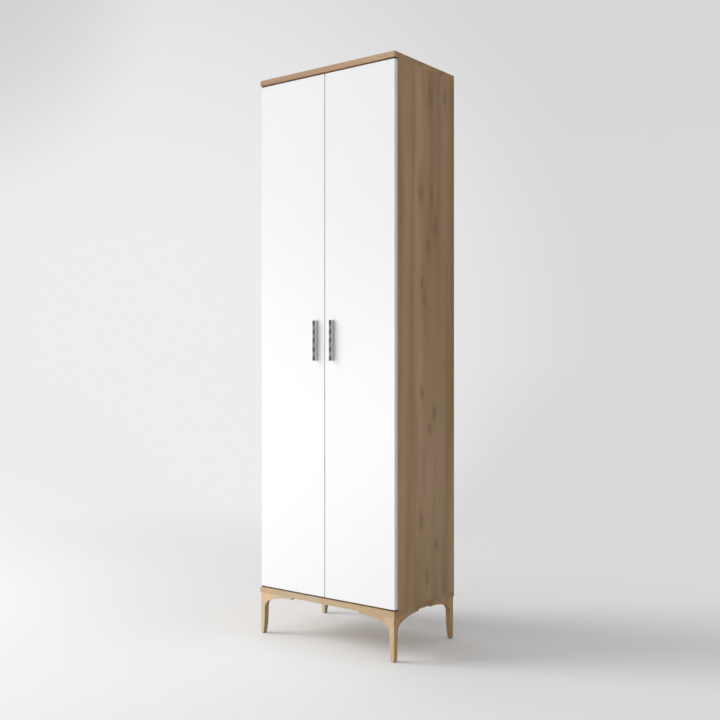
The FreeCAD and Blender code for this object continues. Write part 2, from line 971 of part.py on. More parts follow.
def shelf_pins():
    pins = []
    for number in adjustable_shelf_numbers():
        for y in pin_rows:
            pins.append(shelf_pin(y, shelf_underside(number) - pin_rest_radius))
    return both_sides(pins)


def strip_level():
    return fixed_shelf_middle()


def back_sheet(low_z, high_z):
    half = inner_half + groove_engagement
    return box(Vector(-half, back_front_y, low_z), Vector(half, back_rear_y, high_z))


def back_sheets():
    split = strip_level()
    gap = strip_wall / 2 + strip_play
    lower = back_sheet(bottom_high - groove_engagement, split - gap)
    upper = back_sheet(split + gap, top_low + groove_engagement)
    return lower, upper


# An H section that grips both sheets, between the side panels
def joining_strip():
    half = inner_half - strip_end_gap
    middle = strip_level()
    flange = strip_flange_height / 2
    front_face = back_front_y - strip_play
    rear_face = back_rear_y + strip_play
    web = box(
        Vector(-half, front_face, middle - strip_wall / 2),
        Vector(half, rear_face, middle + strip_wall / 2),
    )
    flanges = []
    for low_y in (front_face - strip_wall, rear_face):
        low = Vector(-half, low_y, middle - flange)
        flanges.append(box(low, Vector(half, low_y + strip_wall, middle + flange)))
    return fuse_all([web] + flanges)


def save_carcass():
    save("top_board", top_board())
    save("bottom_board", bottom_board())
    right_side = side_panel()
    save("side_panel_right", right_side)
    save("side_panel_left", mirrored(right_side))
    lower, upper = back_sheets()
    save("back_sheet_lower", lower)
    save("back_sheet_upper", upper)
    save("back_joining_strip", joining_strip())
    save("fixed_shelf", fixed_shelf())
    for order, number in enumerate(adjustable_shelf_numbers(), 1):
        save("adjustable_shelf_" + str(order), adjustable_shelf(number))
    save("shelf_pins", shelf_pins())
    save("cam_discs", cam_discs())
    save("cam_bolts", cam_bolts())
    save("wood_dowels", wood_dowels())


def save_legs():
    front_right, rear_right, front_left, rear_left = four_corners(leg())
    save("leg_front_right", front_right)
    save("leg_front_left", front_left)
    save("leg_rear_right", rear_right)
    save("leg_rear_left", rear_left)
    save("leg_glides", four_corners(leg_glide()))
    screws = []
    for place in leg_screw_places(outer_corner(0, leg_height)):
        screws += four_corners(leg_screw(place))
    save("leg_screws", screws)


def save_hinges_and_catches():
    save("board_hinge_leaves", board_hinge_leaves())
    save("hinge_pins", hinge_pins())
    save("hinge_washers", hinge_washers())
    save("board_hinge_screws", board_hinge_screws())
    save("catch_housings", catch_housings())
    save("catch_magnets", catch_magnets())
    save("catch_screws", catch_screws())


def save_doors():
    right_pieces = {
        "door_panel": [door_panel()],
        "door_hinge_leaves": door_hinge_leaves(),
        "door_hinge_screws": door_hinge_screws(),
        "handle": [handle()],
        "handle_screws": handle_screws(),
        "strike_plates": strike_plates(),
        "strike_screws": strike_screws(),
    }
    for name, shapes in right_pieces.items():
        save(name + "_right", shapes)
        save(name + "_left", [mirrored(shape) for shape in shapes])


os.makedirs("parts", exist_ok=True)
save_carcass()
save_legs()
save_hinges_and_catches()
save_doors()
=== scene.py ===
import json
import math

import bmesh
import bpy
from bpy.props import FloatProperty, FloatVectorProperty, IntProperty, PointerProperty
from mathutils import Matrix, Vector

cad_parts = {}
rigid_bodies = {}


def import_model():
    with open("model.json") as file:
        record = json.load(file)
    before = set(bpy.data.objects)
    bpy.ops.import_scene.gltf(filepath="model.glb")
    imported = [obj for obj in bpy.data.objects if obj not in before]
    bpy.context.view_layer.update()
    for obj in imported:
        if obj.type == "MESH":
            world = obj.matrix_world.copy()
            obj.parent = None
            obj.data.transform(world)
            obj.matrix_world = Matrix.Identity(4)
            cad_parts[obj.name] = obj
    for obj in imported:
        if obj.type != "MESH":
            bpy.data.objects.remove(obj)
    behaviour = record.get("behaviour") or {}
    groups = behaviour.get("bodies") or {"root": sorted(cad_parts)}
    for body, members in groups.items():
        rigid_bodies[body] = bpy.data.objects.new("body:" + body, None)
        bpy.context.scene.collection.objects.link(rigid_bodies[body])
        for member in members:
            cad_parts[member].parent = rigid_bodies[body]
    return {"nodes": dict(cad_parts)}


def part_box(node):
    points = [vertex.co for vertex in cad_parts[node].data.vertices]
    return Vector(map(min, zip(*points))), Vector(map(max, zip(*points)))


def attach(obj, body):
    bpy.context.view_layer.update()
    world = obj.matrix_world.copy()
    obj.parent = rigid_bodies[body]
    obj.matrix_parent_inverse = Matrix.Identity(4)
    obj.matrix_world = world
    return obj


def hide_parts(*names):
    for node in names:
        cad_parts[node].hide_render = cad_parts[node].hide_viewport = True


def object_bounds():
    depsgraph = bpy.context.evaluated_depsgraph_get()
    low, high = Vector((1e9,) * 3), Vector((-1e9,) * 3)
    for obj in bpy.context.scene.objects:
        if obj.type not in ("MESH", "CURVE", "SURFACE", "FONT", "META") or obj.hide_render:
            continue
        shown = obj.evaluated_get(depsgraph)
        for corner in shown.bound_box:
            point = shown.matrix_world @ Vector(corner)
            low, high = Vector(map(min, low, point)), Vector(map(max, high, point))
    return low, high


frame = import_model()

bl_info = {
    "name": "Utility cabinet",
    "version": (1, 0, 0),
    "blender": (4, 5, 0),
    "location": "3D View > Sidebar > Cabinet",
    "description": "Finishes and fine pieces of a tall two-door cabinet",
    "category": "Add Mesh",
}

FRAME_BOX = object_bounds()
NODES = frame["nodes"]
SIDES = ("left", "right")
SHELVES = ("fixed_shelf", *("adjustable_shelf_%d" % number for number in range(1, 5)))
LEGS = tuple("leg_%s_%s" % (end, side) for end in ("front", "rear") for side in SIDES)
BACK = Vector((0, 1, 0))
UP = Vector((0, 0, 1))
WHITE = (1.0, 1.0, 1.0)

# Points nearer than this are one point
MERGE = 1e-6
# A face looks along an axis when its normal has this share there
FACING = 0.9

# Knots of the right side panel: place across and up the panel, half width and half height, in metres
SIDE_KNOTS = (
    (0.032, 1.800, 0.019, 0.050),
    (0.117, 1.810, 0.017, 0.036),
    (-0.027, 1.478, 0.018, 0.042),
    (0.036, 1.484, 0.013, 0.050),
    (0.056, 1.374, 0.021, 0.052),
    (0.014, 1.308, 0.017, 0.042),
    (-0.022, 1.186, 0.013, 0.036),
    (-0.007, 1.136, 0.017, 0.028),
    (-0.021, 0.834, 0.018, 0.036),
    (0.050, 0.766, 0.019, 0.040),
    (0.026, 0.715, 0.017, 0.032),
    (-0.027, 0.418, 0.019, 0.052),
    (0.062, 0.331, 0.017, 0.034),
    (0.008, 0.235, 0.018, 0.044),
)


# Settings

def settings_of(kind, **options):
    """A short way to write settings of one kind: by name, description and default."""
    return lambda name, description, default: kind(name=name, description=description, default=default,
                                                   **options)


length = settings_of(FloatProperty, precision=5, unit="LENGTH")
angle = settings_of(FloatProperty, unit="ROTATION")
optics = settings_of(FloatProperty, unit="CAMERA")
amount = settings_of(FloatProperty, min=0)
shift = settings_of(FloatProperty)
number = settings_of(IntProperty, min=2)
colour = settings_of(FloatVectorProperty, min=0, max=1, subtype="COLOR")
point = settings_of(FloatVectorProperty, precision=4, subtype="TRANSLATION")


class CabinetCameraSettings(bpy.types.PropertyGroup):
    place: point("Place", "Where the camera stands", (2.0350, -2.6690, 0.9469))
    turn: angle("Turn", "Turn about the vertical", math.radians(37.11))
    lens: optics("Lens", "Focal length in millimetres", 49.158)
    sensor: optics("Sensor", "Sensor width in millimetres", 36)
    rise: shift("Rise", "Upward shift of the picture", -0.0030)


class CabinetStageSettings(bpy.types.PropertyGroup):
    floor_radius: length("Floor radius", "Radius of the floor", 60)
    floor_tone: colour("Floor", "Colour of the floor", (0.865, 0.865, 0.865))
    fade_start: length("Fade start", "Distance at which the floor starts to fade", 0.7)
    fade_end: length("Fade end", "Distance at which it has faded into the backdrop", 3.4)
    backdrop_tone: colour("Backdrop", "Colour of the backdrop", (0.695, 0.695, 0.695))
    glow: amount("Glow", "Brightening of the backdrop", 0.155)
    room: amount("Room light", "Strength of the soft light from above", 0.9)
    room_lean: point("Room lean", "Where most of the light from above comes from", (-0.28, -0.14, 0.95))
    room_rest: amount("Room rest", "Strength of the light from elsewhere", 0.03)
    key: amount("Key light", "Strength of the key light", 1.25)
    key_turn: angle("Key turn", "Turn of the key light's way from the right to the back", math.radians(31.8))
    key_height: angle("Key height", "Height of the key light above the horizon", math.radians(31))
    key_softness: angle("Key softness", "Angular size of the key light", math.radians(26))
    fill: amount("Fill light", "Power of the large soft light in front", 31)
    fill_place: point("Fill place", "Where the large soft light stands", (-1.15, -2.6, 0.28))
    fill_size: length("Fill size", "Side of the large soft light", 1.8)
    front_start: length("Front fade start", "Distance towards the soft light at which the floor fades", 1.9)
    front_end: length("Front fade end", "Distance towards the soft light at which it has faded", 2.5)
    pool: amount("Floor light", "Power of the light over the floor", 9.5)
    pool_place: point("Floor light place", "Where the light over the floor hangs", (-2.2, -1.2, 1.4))
    pool_size: length("Floor light size", "Side of the light over the floor", 1.0)
    pool_aim: point("Floor light aim", "Where the light over the floor looks", (0.2, 0.1, -1.0))


class CabinetBoardSettings(bpy.types.PropertyGroup):
    pale: colour("Pale oak", "Palest colour of the oak boards", (0.575, 0.388, 0.236))
    dark: colour("Dark oak", "Darkest colour of the oak boards", (0.355, 0.217, 0.118))
    warm: colour("Warm oak", "Reddish tint of the oak boards", (1.0, 0.92, 0.87))
    olive: colour("Olive oak", "Greenish tint of the oak boards", (0.94, 0.975, 0.905))
    knot: colour("Knot", "Colour of the knots", (0.19, 0.122, 0.052))
    light_pale: colour("Pale edge oak", "Palest colour of the lower board", (0.775, 0.5865, 0.432))
    light_dark: colour("Dark edge oak", "Darkest colour of the lower board", (0.57, 0.408, 0.279))
    left_stain: colour("Left stain", "Tint of the lower board near its left end", (1.0, 0.988, 0.894))
    pale_stain: colour("Pale stain", "Tint of the pale stretch in the lower board", (0.877, 0.997, 1.0))
    right_stain: colour("Right stain", "Tint of the rest of the lower board", (0.877, 0.87, 0.787))
    heart: colour("Heartwood", "Tint of the darker wood towards a side panel's back", (0.83, 0.82, 0.785))
    foil: colour("Backing foil", "Colour of the foil under the lower board", (0.84, 0.77, 0.68))


class CabinetDoorSettings(bpy.types.PropertyGroup):
    lacquer: colour("Lacquer", "Colour of the door lacquer", (0.87, 0.87, 0.877))
    edge: colour("Door edge", "Colour of the edge banding", (0.92, 0.87, 0.80))
    ripple: length("Ripple", "Depth of the ripple in the lacquer", 0.00002)


class CabinetLegSettings(bpy.types.PropertyGroup):
    pale: colour("Pale leg oak", "Palest colour of the legs", (0.73, 0.55, 0.35))
    dark: colour("Dark leg oak", "Darkest colour of the legs", (0.54, 0.383, 0.228))
    honey: colour("Honey wood", "Tone of the left legs' wood where post and arms meet", (0.88, 0.55, 0.315))
    silver: colour("Silver wood", "Tone of the left legs' wood towards foot and tips", (0.53, 0.565, 0.45))
    right: colour("Right tint", "Tint of the right legs' darker wood", (0.93, 0.88, 0.90))
    # Painted shade: the side and inner tints darken the legs' sideways faces, and the rear tint darkens the
    # rear right leg under the cabinet
    beside: colour("Side tint", "Tint of the legs' outer sides, stained like the panels", (0.90, 0.81, 0.66))
    inner: colour("Inner tint", "Tint of the legs' sides that look inwards", (0.66, 0.56, 0.42))
    rear: colour("Rear tint", "Further tint of the rear right leg's dark front", (0.63, 0.62, 0.64))
    edge_round: length("Edge round", "Radius of the legs' softened edges", 0.0010)
    glide: colour("Glide", "Colour of the glides", (0.055, 0.05, 0.045))


class CabinetHandleSettings(bpy.types.PropertyGroup):
    facets: number("Facets", "Number of facet rows on each bar", 9)
    facet_depth: length("Facet depth", "Depth of the facets", 0.0016)
    facet_slant: amount("Facet slant", "Share of that depth at the facets' inner edge", 0.5)
    facet_border: length("Facet border", "Width of the flat border round the facets", 0.0010)
    stem_width: length("Stem width", "Width of the stem behind the bar", 0.006)
    stem_depth: length("Stem depth", "Depth of the stem behind the bar", 0.005)
    edge_round: length("Edge round", "Width of the softened edges", 0.0005)
    face: colour("Face", "Colour of the bar's dark face", (0.20, 0.20, 0.205))
    # Painted shade: the facets that look down are darker than those that look up, as if lit from above
    patina: colour("Patina", "Colour of the facets that look down", (0.055, 0.055, 0.058))
    flank: colour("Flank", "Colour of the bar's brushed flanks", (0.72, 0.72, 0.72))


class CabinetFittingSettings(bpy.types.PropertyGroup):
    steel: colour("Plated steel", "Colour of the plated steel", (0.62, 0.63, 0.64))
    dark_steel: colour("Dark steel", "Colour of the hinge fittings", (0.045, 0.043, 0.041))
    cast: colour("Cast metal", "Colour of the cast discs", (0.46, 0.46, 0.47))
    plastic: colour("White plastic", "Colour of the plastic fittings", (0.80, 0.80, 0.78))
    magnet: colour("Magnet", "Colour of the magnets", (0.035, 0.035, 0.038))
    beech: colour("Beech", "Colour of the dowels", (0.70, 0.50, 0.32))
    hardboard: colour("Hardboard", "Colour of the back sheets' raw side", (0.30, 0.185, 0.10))
    lining: colour("Lining", "Colour of the back sheets' inner side", (0.80, 0.80, 0.79))
    recess_width: length("Recess width", "Width of a screw's cross recess", 0.0009)
    recess_depth: length("Recess depth", "Depth of a screw's cross recess", 0.0013)


# Node trees

def assign(owner, values):
    for name, value in values.items():
        setattr(owner, name, value)


class Wiring:
    """Adds nodes to one shader tree and joins them."""

    def __init__(self, tree):
        self.tree = tree

    def feed(self, socket, value):
        """Links a socket to another one or sets its value. A colour gets full opacity."""
        if isinstance(value, bpy.types.NodeSocket):
            self.tree.links.new(value, socket)
        elif value is not None:
            socket.default_value = (*value, 1.0) if socket.type == "RGBA" else value

    def node(self, kind, *values, **settings):
        node = self.tree.nodes.new("ShaderNode" + kind)
        assign(node, settings)
        for socket, value in zip(node.inputs, values):
            self.feed(socket, value)
        return node

    def fill(self, node, **values):
        """Feeds a node's sockets by their names, with underscores for spaces."""
        for name, value in values.items():
            self.feed(node.inputs[name.replace("_", " ")], value)
        return node

    def math(self, operation, *values):
        return self.node("Math", *values, operation=operation).outputs[0]

    def times(self, first, second):
        return self.math("MULTIPLY", first, second)

    def times_plus(self, first, second, added):
        return self.math("MULTIPLY_ADD", first, second, added)

    def absolute(self, value):
        return self.math("ABSOLUTE", value)

    def larger(self, first, second):
        return self.math("MAXIMUM", first, second)

    def vector(self, operation, *values):
        node = self.node("VectorMath", *values, operation=operation)
        return node.outputs["Value" if operation in ("DOT_PRODUCT", "LENGTH") else "Vector"]

    def stretch(self, vector, x, y, z):
        return self.vector("MULTIPLY", vector, (x, y, z))

    def parts(self, vector):
        return self.node("SeparateXYZ", vector).outputs

    def whole(self, x, y, z):
        return self.node("CombineXYZ", x, y, z).outputs[0]

    def noise(self, vector, scale, detail=2.0, roughness=0.5):
        node = self.node("TexNoise")
        return self.fill(node, Vector=vector, Scale=scale, Detail=detail, Roughness=roughness).outputs[0]

    def grain(self, vector, share, scale, detail=2.0, roughness=0.5):
        """Noise drawn out along Z: the smaller the share, the longer its marks."""
        return self.noise(self.stretch(vector, 1, 1, share), scale, detail, roughness)

    def spread(self, value, low, high, start=0.0, end=1.0, kind="SMOOTHSTEP"):
        return self.node("MapRange", value, low, high, start, end, interpolation_type=kind).outputs[0]

    def mix(self, mask, first, second, blend="MIX"):
        node = self.node("Mix", data_type="RGBA", blend_type=blend)
        for index, value in ((0, mask), (6, first), (7, second)):
            self.feed(node.inputs[index], value)
        return node.outputs[2]

    def tinted(self, colour, tint, mask=1.0):
        return self.mix(mask, colour, tint, "MULTIPLY")

    def group(self, build, **values):
        """Places a shared node group, which is built the first time that it is asked for."""
        name = build.__name__.replace("_", " ").capitalize()
        tree = bpy.data.node_groups.get(name)
        if not tree:
            tree = bpy.data.node_groups.new(name, "ShaderNodeTree")
            build(tree)
        return self.fill(self.node("Group", node_tree=tree), **values).outputs

    def objects(self):
        return self.node("TexCoord").outputs["Object"]

    def normals(self):
        return self.parts(self.node("TexCoord").outputs["Normal"])

    def seen(self):
        """A mask of what the camera sees, straight, mirrored or through glass."""
        path = self.node("LightPath").outputs
        bent = self.larger(path["Is Glossy Ray"], path["Is Transmission Ray"])
        return self.larger(path["Is Camera Ray"], bent)

    def bump(self, height, distance, normal=None):
        return self.fill(self.node("Bump"), Height=height, Distance=distance, Normal=normal).outputs[0]


def scaled(colour, factor):
    return tuple(value * factor for value in colour)


def open_group(tree, inputs, outputs=("Color", "Roughness", "Height")):
    """Gives a node group its sockets, and returns its wiring, what enters and the node for its results.

    An input without a value is a place, and any other is a colour or a number.
    """
    for label, value in inputs.items():
        kind = "Vector" if value is None else "Color" if isinstance(value, tuple) else "Float"
        socket = tree.interface.new_socket(label, in_out="INPUT", socket_type="NodeSocket" + kind)
        if value is not None:
            socket.default_value = (*value, 1.0) if kind == "Color" else value
    for label in outputs:
        kind = "Color" if label == "Color" else "Float"
        tree.interface.new_socket(label, in_out="OUTPUT", socket_type="NodeSocket" + kind)
    return Wiring(tree), tree.nodes.new("NodeGroupInput").outputs, tree.nodes.new("NodeGroupOutput")


def oak_grain(tree):
    """Plain-sawn oak with its fibres along Z: soft bands, growth rings, streaks, fibres, pores and knots."""
    inputs = {"Vector": None, "Pale": (0.6, 0.45, 0.3), "Dark": (0.4, 0.27, 0.16), "Knot": (0.24, 0.16, 0.09),
              "Warm": WHITE, "Olive": WHITE, "Heart": WHITE, "Core": 0.0, "Halo": 0.0, "Figure": 1.0}
    w, entry, results = open_group(tree, inputs)
    place = entry["Vector"]
    drift = w.times_plus(w.grain(place, 0.25, 4.0), 0.06, -0.03)
    pulled = w.times_plus(entry["Halo"], 0.010, drift)
    line = w.vector("ADD", place, w.whole(pulled, pulled, 0.0))
    bands = w.spread(w.grain(line, 0.05, 15.0, 1.5), 0.32, 0.68)
    tint = w.spread(w.grain(line, 0.08, 14.0, 1.0), 0.38, 0.62)
    cloud = w.spread(w.grain(place, 0.4, 6.0, 1.0), 0.42, 0.62)
    phase = w.math("ADD", w.times(w.grain(line, 0.05, 5.0, 1.2), 26.0), w.times(entry["Halo"], 2.2))
    rings = w.math("POWER", w.math("FRACT", phase), 2.4)
    streaks = w.grain(line, 0.02, 120.0, 3.0, 0.6)
    fibres = w.grain(line, 0.018, 620.0, 3.0, 0.6)
    pores = w.spread(w.grain(line, 0.03, 1500.0, 0.0), 0.60, 0.74)
    figure = w.times(w.times_plus(rings, 0.12, w.times(bands, 0.63)), entry["Figure"])
    fine = w.times_plus(w.math("SUBTRACT", streaks, 0.5), 0.30, w.times(fibres, 0.35))
    shade = w.spread(w.math("ADD", figure, fine), 0.0, 1.0, kind="LINEAR")
    wood = w.mix(shade, entry["Pale"], entry["Dark"])
    wood = w.tinted(wood, entry["Warm"], w.times(tint, entry["Figure"]))
    wood = w.tinted(wood, entry["Olive"], w.times(cloud, entry["Figure"]))
    wood = w.tinted(wood, entry["Heart"])
    wood = w.tinted(wood, (0.55, 0.50, 0.45), w.times(pores, 0.35))
    wood = w.mix(w.times(entry["Core"], 0.44), wood, entry["Knot"])
    rough = w.times_plus(pores, 0.10, w.times_plus(fibres, 0.16, 0.50))
    w.fill(results, Color=wood, Roughness=rough, Height=w.math("SUBTRACT", w.times(fibres, 0.6), pores))


def side_knots(tree):
    """Masks of a side panel: its knots' cores, the wider halo that bends the grain, and the heartwood."""
    w, entry, results = open_group(tree, {"Vector": None}, ("Core", "Halo", "Heart"))
    place = entry["Vector"]
    flames = w.grain(place, 0.22, 150.0, 3.0, 0.6)
    wobble = w.times_plus(flames, 1.5, w.times_plus(w.noise(place, 45.0), 0.6, -0.05))
    core = halo = 0.0
    for across, up, half_width, half_height in SIDE_KNOTS:
        offset = w.vector("SUBTRACT", place, (0.0, across, up))
        offset = w.stretch(offset, 0.0, 1 / half_width, 1 / half_height)
        near = w.times(w.vector("LENGTH", offset), wobble)
        far = w.times(w.vector("LENGTH", w.stretch(offset, 0.0, 1.2, 0.42)), wobble)
        eye = w.times(w.spread(near, 0.62, 0.38), 0.35)
        streak = w.times(w.spread(far, 1.2, 0.2), 0.4)
        core = w.larger(core, w.times_plus(w.larger(w.spread(near, 1.25, 0.3), streak), 0.75, eye))
        halo = w.larger(halo, w.spread(near, 3.2, 0.4))
    _, y, z = w.parts(place)
    waved = w.times_plus(w.noise(place, 3.0), 0.06, y)
    heart = w.times(w.spread(waved, 0.035, 0.105), w.spread(z, 0.1, 0.9, 0.35, 1.0))
    w.fill(results, Core=core, Halo=halo, Heart=heart)


def worked_metal(tree):
    """Worked metal: brushing along Z, a fine grain and slow staining."""
    inputs = {"Vector": None, "Metal": (0.5, 0.5, 0.5), "Roughness": 0.35, "Brushing": 1.0, "Stain": 1.0}
    w, entry, results = open_group(tree, inputs)
    brush = w.grain(entry["Vector"], 0.03, 2600.0)
    speckle = w.noise(entry["Vector"], 1900.0)
    stain = w.noise(entry["Vector"], 130.0, 3.0, 0.6)
    stained_and_shaded = w.times(w.spread(stain, 0.35, 0.75), w.times(entry["Stain"], 0.5))
    rough = w.times_plus(w.math("SUBTRACT", brush, 0.5), 0.22, entry["Roughness"])
    w.fill(results, Color=w.tinted(entry["Metal"], (0.72, 0.70, 0.68), stained_and_shaded),
           Roughness=w.times_plus(stained_and_shaded, 0.30, rough),
           Height=w.times_plus(speckle, 0.5, w.times(brush, entry["Brushing"])))


def moulded_plastic(tree):
    """Moulded plastic: a fine eroded texture and faint flow marks."""
    w, entry, results = open_group(tree, {"Vector": None, "Plastic": (0.8, 0.8, 0.8)})
    texture = w.noise(entry["Vector"], 2200.0, 2.0, 0.6)
    flow = w.noise(entry["Vector"], 60.0)
    w.fill(results, Color=w.mix(w.times(flow, 0.14), entry["Plastic"], (0.5, 0.48, 0.44)),
           Roughness=w.times_plus(texture, 0.20, 0.36), Height=texture)


def backdrop_tone(tree):
    """The backdrop's tone in a direction: a soft glow on one side of the cabinet and a shade above it."""
    inputs = {"Direction": None, "Tone": WHITE, "Glow": 0.16}
    w, entry, results = open_group(tree, inputs, ("Color",))
    direction = w.vector("NORMALIZE", entry["Direction"])

    def patch(middle, edge):
        return w.spread(w.vector("DOT_PRODUCT", direction, middle), edge, 1.0)

    beside = patch((-0.768, 0.640, 0.030), 0.885)
    before = patch((-0.99, -0.14, 0.0), 0.80)
    corner = patch((-0.826, 0.448, 0.343), 0.975)
    glow = w.times(entry["Glow"], w.times_plus(before, 1.5, beside))
    change = w.times_plus(w.spread(w.parts(direction)[2], 0.1, 0.35), -0.018, glow)
    change = w.times_plus(corner, -0.13, change)
    w.fill(results, Color=w.vector("ADD", entry["Tone"], w.whole(change, change, change)))


def empty_tree(owner):
    """The wiring of a material's or a world's emptied node tree."""
    owner.use_nodes = True
    owner.node_tree.nodes.clear()
    return Wiring(owner.node_tree)


def new_material(name):
    """A material, its wiring and its shader node."""
    material = bpy.data.materials.new(name)
    w = empty_tree(material)
    shader = w.node("BsdfPrincipled")
    w.node("OutputMaterial", shader.outputs[0])
    return material, w, shader


def finish_surface(w, shader, results, depth, normal=None):
    """Feeds a finish group's colour, roughness and height to the shader."""
    normal = w.bump(results["Height"], depth, normal)
    w.fill(shader, Base_Color=results["Color"], Roughness=results["Roughness"], Normal=normal)


def oak_material(name, tones, along="z", shift=(0, 0, 0), figure=1.0, heart=None, ends=None, stains=None,
                 foil=None):
    """An oak finish whose fibres run along X or Z.

    A side panel has knots and darker heartwood. The lower board has ends of other tones, foil under it, and
    stains: the first tint, then each next one with where it starts and is full.
    """
    material, w, shader = new_material(name)
    shader.inputs["Specular IOR Level"].default_value = 0.3
    plain = w.objects()
    place = w.vector("ADD", plain, shift)
    if along == "x":
        x, y, z = w.parts(place)
        place = w.whole(z, y, x)
    values = dict(tones, Vector=place, Figure=figure)
    if heart is not None:
        masks = w.group(side_knots, Vector=place)
        values.update(Core=masks["Core"], Halo=masks["Halo"], Heart=w.mix(masks["Heart"], WHITE, heart))
    x, y, z = w.parts(plain)
    if ends:
        half = FRAME_BOX[1].x
        at_end = w.spread(w.absolute(x), half - 0.0012, half - 0.0002)
        values.update({label: w.mix(at_end, tones[label], tone) for label, tone in ends.items()})
        stain, *changes = stains
        for start, full, tint in changes:
            stain = w.mix(w.spread(x, start, full), stain, tint)
        values["Heart"] = w.mix(at_end, stain, WHITE)
    results = w.group(oak_grain, **values)
    finish_surface(w, shader, results, 0.00012)
    if foil is not None:
        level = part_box("bottom_board")[0].z
        under = w.times(w.spread(w.normals()[2], -0.5, -0.9), w.spread(z, level + 0.0010, level + 0.0003))
        w.fill(shader, Base_Color=w.mix(under, results["Color"], foil))
    return material


def board_tones(boards):
    return {label: getattr(boards, label.lower()) for label in ("Pale", "Dark", "Warm", "Olive", "Knot")}


def metal_material(name, metal, roughness, **wear):
    material, w, shader = new_material(name)
    shader.inputs["Metallic"].default_value = 1.0
    results = w.group(worked_metal, Vector=w.objects(), Metal=metal, Roughness=roughness, **wear)
    finish_surface(w, shader, results, 0.00003)
    return material


def plastic_material(name, plastic):
    material, w, shader = new_material(name)
    finish_surface(w, shader, w.group(moulded_plastic, Vector=w.objects(), Plastic=plastic), 0.00004)
    return material


# Work on meshes

def both(name):
    """The names of a node's left and right one."""
    return [name + "_" + side for side in SIDES]


def dress(material, *names):
    """Gives a finish to construction nodes."""
    for name in names:
        node = NODES[name]
        if not node.material_slots:
            node.data.materials.append(material)
        for slot in node.material_slots:
            slot.material = material


def finish_piece(piece, material, body, slot, *replaced):
    """Gives a new piece its finish and its body, and hides the nodes that it stands for. The slot is not
    used.
    """
    piece.data.materials.clear()
    piece.data.materials.append(material)
    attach(piece, body)
    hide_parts(*replaced)


def only(*objects):
    """Selects just these objects, the first of them active."""
    if bpy.context.object and bpy.context.object.mode != "OBJECT":
        close_mesh()
    bpy.ops.object.select_all(action="DESELECT")
    for item in objects:
        item.select_set(True)
    if objects:
        bpy.context.view_layer.objects.active = objects[0]


def settle(piece):
    """Puts the piece's place, turn and size into its mesh."""
    only(piece)
    bpy.ops.object.transform_apply()


def open_mesh(piece):
    """Opens a piece's mesh, all of it selected."""
    only(piece)
    bpy.ops.object.mode_set(mode="EDIT")
    bpy.ops.mesh.select_all(action="SELECT")


def close_mesh():
    bpy.ops.object.mode_set(mode="OBJECT")


def choose(piece, kind, test):
    """Selects the opened piece's verts, edges or faces that pass the test, and counts them."""
    bpy.ops.mesh.select_mode(type=kind[:-1].upper())
    bpy.ops.mesh.select_all(action="DESELECT")
    mesh = bmesh.from_edit_mesh(piece.data)
    chosen = [item for item in getattr(mesh, kind) if test(item)]
    for item in chosen:
        item.select_set(True)
    mesh.select_flush_mode()
    bmesh.update_edit_mesh(piece.data)
    return len(chosen)


def extrude(*offset):
    bpy.ops.mesh.extrude_region_move(TRANSFORM_OT_translate={"value": offset})


def named(name):
    """Names the object that an operator has just made."""
    bpy.context.object.name = name
    return bpy.context.object


def block(name, low, high):
    """A box between two corners."""
    only()
    bpy.ops.mesh.primitive_cube_add(size=1, location=(low + high) / 2)
    piece = named(name)
    bpy.ops.transform.resize(value=high - low)
    settle(piece)
    return piece


def turned_piece(name, profile, sides):
    """A piece turned about Z: a disc drawn out through steps of radius and level."""
    only()
    radius, level = profile[0]
    bpy.ops.mesh.primitive_circle_add(vertices=sides, radius=radius, fill_type="NGON", location=(0, 0, level))
    piece = named(name)
    settle(piece)
    open_mesh(piece)
    for next_radius, next_level in profile[1:]:
        extrude(0, 0, next_level - level)
        if next_radius != radius:
            factor = next_radius / radius
            bpy.ops.transform.resize(value=(factor, factor, 1), center_override=(0, 0, next_level))
        radius, level = next_radius, next_level
    bpy.ops.mesh.select_all(action="SELECT")
    bpy.ops.mesh.normals_make_consistent()
    close_mesh()
    return piece


def solid_boxes(name):
    """The lowest and highest corner of each separate solid of a construction node."""
    mesh = bmesh.new()
    mesh.from_mesh(NODES[name].data)
    bmesh.ops.remove_doubles(mesh, verts=mesh.verts, dist=MERGE)
    waiting = set(mesh.verts)
    boxes = []
    while waiting:
        found = [waiting.pop()]
        for vert in found:
            joined = waiting.intersection([edge.other_vert(vert) for edge in vert.link_edges])
            waiting -= joined
            found.extend(joined)
        spans = list(zip(*(vert.co for vert in found)))
        boxes.append([Vector([pick(span) for span in spans]) for pick in (min, max)])
    mesh.free()
    return sorted(boxes, key=lambda corners: tuple(round(value, 5) for value in corners[0]))


def copy_of(piece, name):
    """A copy of a piece or node with a mesh of its own."""
    only(piece)
    bpy.ops.object.duplicate()
    copy = named(name)
    for key in [key for key in copy.keys() if key.startswith("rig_")]:
        del copy[key]
    bpy.ops.object.parent_clear(type="CLEAR_KEEP_TRANSFORM")
    return copy


def modify(piece, kind, **settings):
    """Adds a modifier to a piece and applies it."""
    only(piece)
    bpy.ops.object.modifier_add(type=kind)
    modifier = piece.modifiers[-1]
    assign(modifier, settings)
    bpy.ops.object.modifier_apply(modifier=modifier.name)


# Stage

class CabinetCamera(bpy.types.Operator):
    """Stands the camera in front of the cabinet's right-hand corner"""
    bl_idname = "cabinet.camera"
    bl_label = "Camera"

    def execute(self, context):
        settings = context.scene.cabinet_camera
        only()
        bpy.ops.object.camera_add(location=settings.place, rotation=(math.radians(90), 0, settings.turn))
        camera = named("Camera")
        camera.data.lens = settings.lens
        camera.data.sensor_width = settings.sensor
        camera.data.shift_y = settings.rise
        context.scene.camera = camera
        return {"FINISHED"}


